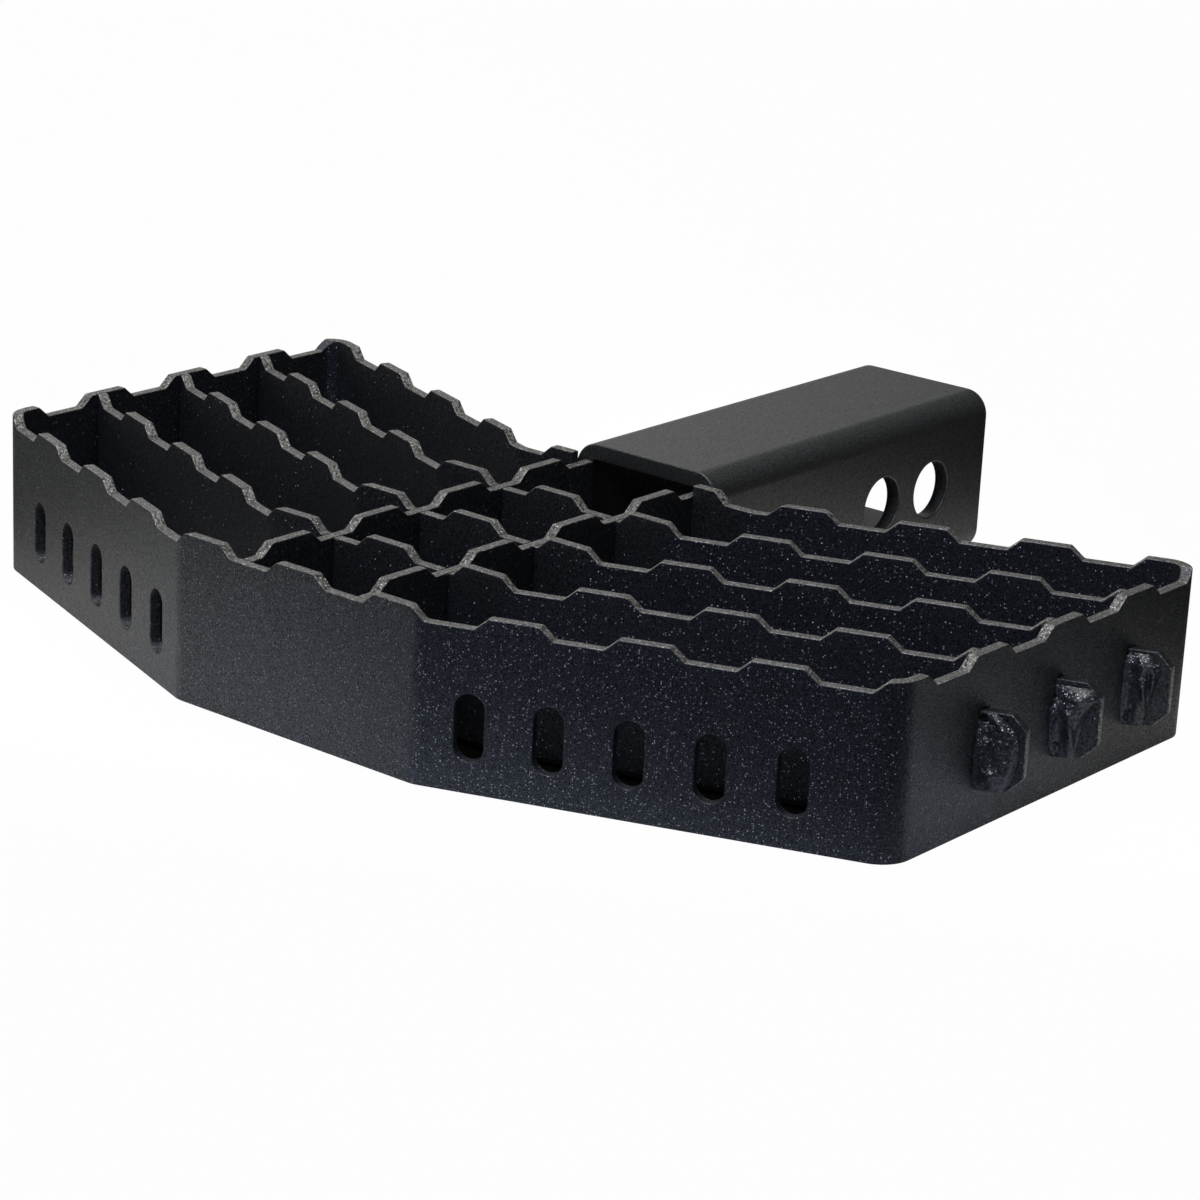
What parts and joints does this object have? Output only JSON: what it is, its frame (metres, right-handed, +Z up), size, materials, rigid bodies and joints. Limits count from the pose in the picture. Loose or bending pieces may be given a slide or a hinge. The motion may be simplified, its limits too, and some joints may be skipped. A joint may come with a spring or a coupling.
{
  "type": "hitch receiver step",
  "caption": "Serrated steel step with swept-back wings on a square shank that slides into a vehicle's hitch receiver.",
  "frame": {"origin": "on the shank's axis, in the middle of the rear hitch pin hole", "axes": "+X across the step towards its right-hand side and along the pin holes, +Y along the shank from the step into the receiver, +Z up, with the teeth on top"},
  "size_m": [0.3408, 0.2777, 0.0508],
  "materials": {
    "strip_coat": "black powder coat, satin with a fine grain, over laser-cut and bent steel strip",
    "shank_coat": "black powder coat, smoother satin, over square steel tube",
    "bead_coat": "black powder coat, glossier, over rippled weld beads"
  },
  "bodies": {
    "root": {"outer_frame": "strip_coat", "cross_bar_front": "strip_coat", "cross_bar_middle": "strip_coat", "cross_bar_rear": "strip_coat", "rib_left": "strip_coat", "rib_right": "strip_coat", "shank": "shank_coat", "tab_weld_left_1": "bead_coat", "tab_weld_left_2": "bead_coat", "tab_weld_left_3": "bead_coat", "tab_weld_right_1": "bead_coat", "tab_weld_right_2": "bead_coat", "tab_weld_right_3": "bead_coat", "shank_weld_left": "bead_coat", "shank_weld_right": "bead_coat"}
  },
  "joints": []
}
